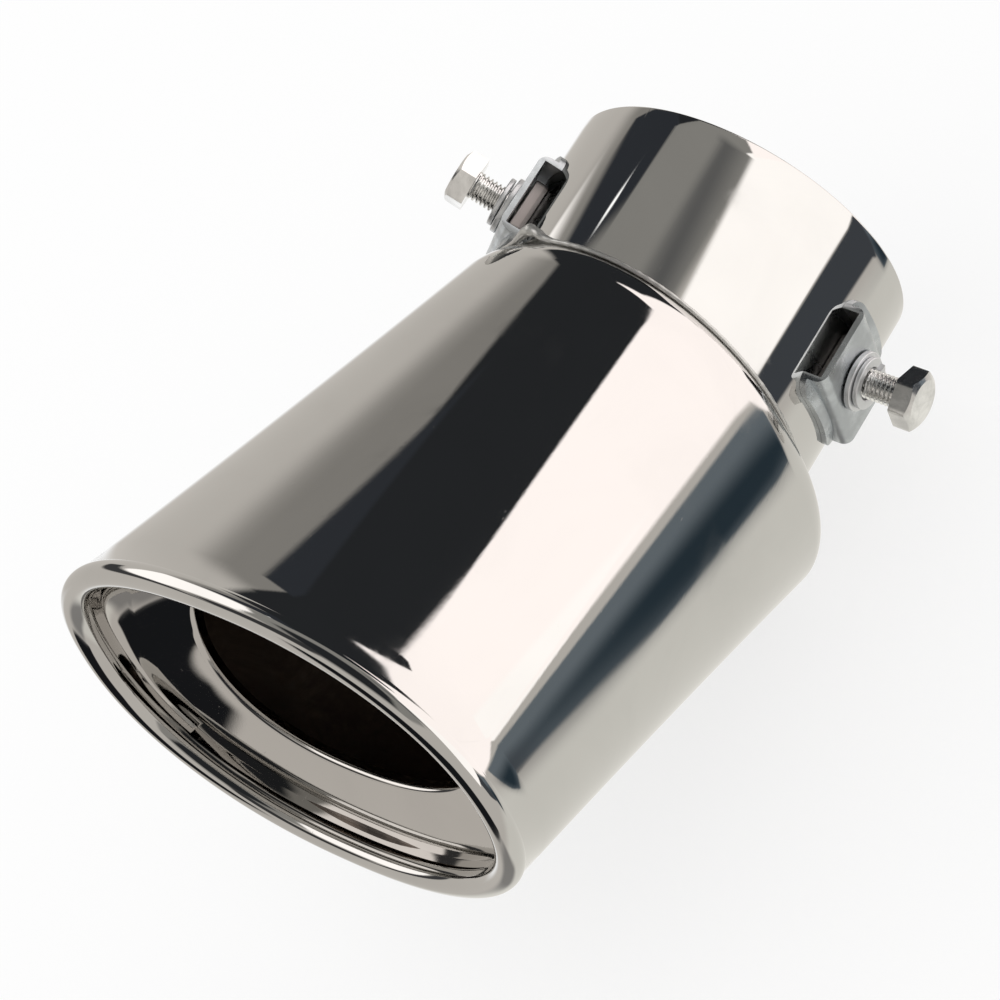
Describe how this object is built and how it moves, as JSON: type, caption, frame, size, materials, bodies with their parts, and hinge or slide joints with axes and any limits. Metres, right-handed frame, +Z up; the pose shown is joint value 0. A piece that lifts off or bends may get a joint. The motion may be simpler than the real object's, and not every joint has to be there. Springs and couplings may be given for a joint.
{
  "type": "exhaust tip",
  "caption": "Bent polished exhaust tip with an oval rolled mouth, an inner funnel and a round inlet neck that clamps on a tailpipe with side bolts.",
  "frame": {"origin": "centre of the inlet rim, on the neck's axis", "axes": "+Y along the neck, out of the inlet towards the tailpipe; +Z up, square to the neck in the plane of the bend; the mouth points to -Y and up"},
  "size_m": [0.0988, 0.127, 0.0976],
  "materials": {
    "polished_shell": "mirror polished stainless steel",
    "polished_liner": "mirror polished stainless steel",
    "polished_neck": "mirror polished stainless steel",
    "weld_metal": "bare weld bead, glossy and uneven",
    "bracket_zinc": "satin zinc plate",
    "nut_steel": "dull steel",
    "washer_zinc": "zinc plate",
    "bolt_zinc": "bright zinc plate"
  },
  "bodies": {
    "tip": {"outer_shell": "polished_shell", "inner_liner": "polished_liner", "inlet_neck": "polished_neck", "neck_weld": "weld_metal", "right_bracket": "bracket_zinc", "right_square_nut": "nut_steel", "right_flat_washer": "washer_zinc", "right_lock_washer": "washer_zinc", "left_bracket": "bracket_zinc", "left_square_nut": "nut_steel", "left_flat_washer": "washer_zinc", "left_lock_washer": "washer_zinc"},
    "right_bolt": {"right_hex_bolt": "bolt_zinc"},
    "left_bolt": {"left_hex_bolt": "bolt_zinc"}
  },
  "joints": [
    {"name": "right_bolt_travel", "type": "slide", "parent": "tip", "child": "right_bolt", "axis": [-0.9664, 0, 0.2571], "range_m": [0, 0.0057]},
    {"name": "left_bolt_travel", "type": "slide", "parent": "tip", "child": "left_bolt", "axis": [0.6972, 0, -0.7169], "range_m": [0, 0.0047]}
  ]
}
